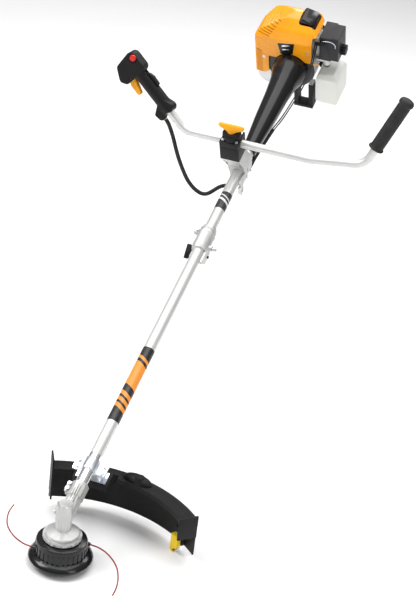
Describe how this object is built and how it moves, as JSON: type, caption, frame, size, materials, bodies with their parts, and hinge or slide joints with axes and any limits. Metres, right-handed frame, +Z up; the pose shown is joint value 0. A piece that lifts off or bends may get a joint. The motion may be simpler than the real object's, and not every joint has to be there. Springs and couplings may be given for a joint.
{
  "type": "string trimmer",
  "caption": "Petrol string trimmer: split shaft with gear case, bump-feed line head and guard, two-hand handlebar with throttle grip, and an engine under a moulded cover.",
  "frame": {"origin": "centre of the harness eye on the handlebar bracket", "axes": "+Z up with the shaft rising at 28 degrees in the working posture, +Y from the line head towards the engine, +X towards the plain grip"},
  "size_m": [0.7193, 1.4881, 0.9274],
  "materials": {
    "bearing_steel": "polished rings",
    "cable_sleeve": "smooth sleeve",
    "cast_aluminium": "sand-cast, matte",
    "filter_grey": "fine moulded grain",
    "gear_steel": "ground, oiled",
    "housing_black": "glossy moulded",
    "matte_black": "fine moulded grain",
    "muffler_steel": "heat dulled",
    "orange_knob": "satin moulded",
    "orange_shell": "glossy moulded",
    "primer_olive": "soft, dark",
    "red_button": "glossy moulded",
    "red_nylon": "extruded line",
    "rubber_grip": "ribbed rubber",
    "tank_milky": "translucent moulded",
    "tube_aluminium": "satin anodised",
    "yellow_cover": "satin moulded",
    "zinc_steel": "bright zinc plate"
  },
  "bodies": {
    "root": {"upper_tube": "tube_aluminium", "shaft_coupler": "cast_aluminium", "frame_screws": "zinc_steel", "bar_base": "cast_aluminium", "clamp_block": "housing_black", "clamp_cap": "housing_black", "shaft_shroud": "housing_black", "fan_housing": "cast_aluminium", "crankcase": "cast_aluminium", "engine_cylinder": "cast_aluminium", "drive_bearings": "bearing_steel", "muffler": "muffler_steel", "plug_cover": "housing_black", "engine_cover": "orange_shell", "carburettor": "cast_aluminium", "filter_box": "filter_grey", "fuel_tank": "tank_milky", "starter_housing": "housing_black", "throttle_cable": "cable_sleeve"},
    "lower_boom": {"gear_case": "cast_aluminium", "boom_screws": "zinc_steel", "boom_bearings": "bearing_steel", "lower_tube": "tube_aluminium", "guard_bracket": "zinc_steel", "guard": "matte_black", "line_cutter": "zinc_steel", "cutter_cover": "yellow_cover"},
    "head": {"arbor": "gear_steel", "bevel_gear": "gear_steel", "head_housing": "housing_black", "left_line": "red_nylon", "right_line": "red_nylon"},
    "line_spool": {"spool": "matte_black", "wound_line": "red_nylon"},
    "bump_knob": {"bump_knob": "matte_black"},
    "lower_drive": {"drive_shaft_lower": "gear_steel", "bevel_pinion": "gear_steel"},
    "upper_drive": {"drive_shaft_upper": "gear_steel", "clutch_drum": "gear_steel"},
    "crank": {"crankshaft": "gear_steel", "flywheel": "cast_aluminium", "clutch_shoes": "gear_steel"},
    "piston": {"piston": "cast_aluminium", "con_rod": "gear_steel"},
    "starter_pulley": {"starter_pulley": "matte_black"},
    "starter_handle": {"starter_handle": "matte_black"},
    "handlebar": {"handlebar": "tube_aluminium", "grip": "rubber_grip", "throttle_body": "matte_black"},
    "throttle_trigger": {"throttle_trigger": "orange_knob"},
    "lockout_lever": {"lockout_lever": "matte_black"},
    "stop_switch": {"stop_switch": "red_button"},
    "coupler_knob": {"coupler_knob": "matte_black"},
    "coupler_latch": {"coupler_latch": "zinc_steel"},
    "wing_knob": {"wing_knob": "orange_knob"},
    "carb_lever": {"carb_lever": "zinc_steel"},
    "choke_lever": {"choke_lever": "matte_black"},
    "primer_bulb": {"primer_bulb": "primer_olive"},
    "filter_knob": {"filter_knob": "matte_black"},
    "fuel_cap": {"fuel_cap": "matte_black"}
  },
  "joints": [
    {"name": "shaft_split", "type": "slide", "parent": "root", "child": "lower_boom", "axis": [0, 0.8829, 0.4695], "range_m": [-0.08, 0]},
    {"name": "head_spin", "type": "hinge", "parent": "lower_boom", "child": "head", "pos_m": [-0.0175, -0.88191, -0.43947], "axis": [0, 0, 1], "continuous": true},
    {"name": "lower_drive_spin", "type": "hinge", "parent": "lower_boom", "child": "lower_drive", "pos_m": [-0.0175, -0.88191, -0.43947], "axis": [0, 0.8829, 0.4695], "continuous": true},
    {"name": "upper_drive_spin", "type": "hinge", "parent": "root", "child": "upper_drive", "pos_m": [-0.0175, -0.88191, -0.43947], "axis": [0, 0.8829, 0.4695], "continuous": true},
    {"name": "spool_feed", "type": "hinge", "parent": "head", "child": "line_spool", "pos_m": [-0.0175, -0.88191, -0.43947], "axis": [0, 0, 1], "continuous": true},
    {"name": "bump_feed", "type": "slide", "parent": "head", "child": "bump_knob", "axis": [0, 0, 1], "range_m": [0, 0.004], "stiffness_N_per_m": 900, "springref_m": -0.002},
    {"name": "crank_spin", "type": "hinge", "parent": "root", "child": "crank", "pos_m": [-0.0175, 0.36481, 0.22342], "axis": [0, 0.8829, 0.4695], "continuous": true},
    {"name": "piston_stroke", "type": "slide", "parent": "root", "child": "piston", "axis": [0, -0.4695, 0.8829], "range_m": [-0.034, 0]},
    {"name": "handlebar_tilt", "type": "hinge", "parent": "root", "child": "handlebar", "pos_m": [-0.0275, -0.03366, 0.12934], "axis": [1, 0, 0], "range_deg": [-30, 60], "deforming": ["throttle_cable"]},
    {"name": "wing_knob_turn", "type": "hinge", "parent": "root", "child": "wing_knob", "pos_m": [-0.0275, -0.03366, 0.12934], "axis": [0, -0.4695, 0.8829], "range_deg": [0, 720]},
    {"name": "coupler_knob_turn", "type": "hinge", "parent": "root", "child": "coupler_knob", "pos_m": [-0.0175, -0.20501, -0.10221], "axis": [1, 0, 0], "range_deg": [0, 720]},
    {"name": "coupler_latch_pull", "type": "slide", "parent": "root", "child": "coupler_latch", "axis": [1, 0, 0], "range_m": [0, 0.006], "stiffness_N_per_m": 400, "springref_m": -0.002},
    {"name": "filter_knob_turn", "type": "hinge", "parent": "root", "child": "filter_knob", "pos_m": [0.1025, 0.38819, 0.29022], "axis": [1, 0, 0], "range_deg": [0, 720]},
    {"name": "fuel_cap_turn", "type": "hinge", "parent": "root", "child": "fuel_cap", "pos_m": [0.0785, 0.46069, 0.21777], "axis": [0, 0.8829, 0.4695], "range_deg": [0, 360]},
    {"name": "choke_turn", "type": "hinge", "parent": "root", "child": "choke_lever", "pos_m": [0.0645, 0.33233, 0.30582], "axis": [0, 0.8829, 0.4695], "range_deg": [0, 45]},
    {"name": "primer_press", "type": "slide", "parent": "root", "child": "primer_bulb", "axis": [0, -0.4695, 0.8829], "range_m": [0, 0.003], "stiffness_N_per_m": 300, "springref_m": -0.001},
    {"name": "starter_turn", "type": "hinge", "parent": "root", "child": "starter_pulley", "pos_m": [-0.0175, 0.4637, 0.276], "axis": [0, 0.8829, 0.4695], "range_deg": [0, 954], "stiffness_Nm_per_rad": 0.01, "springref_deg": -171.89},
    {"name": "starter_pull", "type": "slide", "parent": "root", "child": "starter_handle", "axis": [0.6428, 0.3596, -0.6764], "range_m": [0, 0.6]},
    {"name": "throttle_pull", "type": "hinge", "parent": "handlebar", "child": "throttle_trigger", "pos_m": [-0.29657, -0.03366, 0.23012], "axis": [0, -1, 0], "range_deg": [0, 18], "stiffness_Nm_per_rad": 0.3, "springref_deg": -11.46},
    {"name": "carb_turn", "type": "hinge", "parent": "root", "child": "carb_lever", "pos_m": [0.0395, 0.3761, 0.3087], "axis": [0, 0.4695, -0.8829], "range_deg": [0, 54]},
    {"name": "lockout_press", "type": "hinge", "parent": "handlebar", "child": "lockout_lever", "pos_m": [-0.26275, -0.03366, 0.24676], "axis": [0, -1, 0], "range_deg": [0, 8], "stiffness_Nm_per_rad": 0.3, "springref_deg": -11.46},
    {"name": "stop_press", "type": "slide", "parent": "handlebar", "child": "stop_switch", "axis": [0, 1, 0], "range_m": [0, 0.0025], "stiffness_N_per_m": 300, "springref_m": -0.001}
  ],
  "couplings": [
    {"joint": "lower_drive_spin", "follows": "head_spin", "ratio": 1.3846},
    {"joint": "upper_drive_spin", "follows": "head_spin", "ratio": 1.3846},
    {"joint": "starter_pull", "follows": "starter_turn", "m_per_rad": 0.036},
    {"joint": "carb_turn", "follows": "throttle_pull", "ratio": 3}
  ]
}
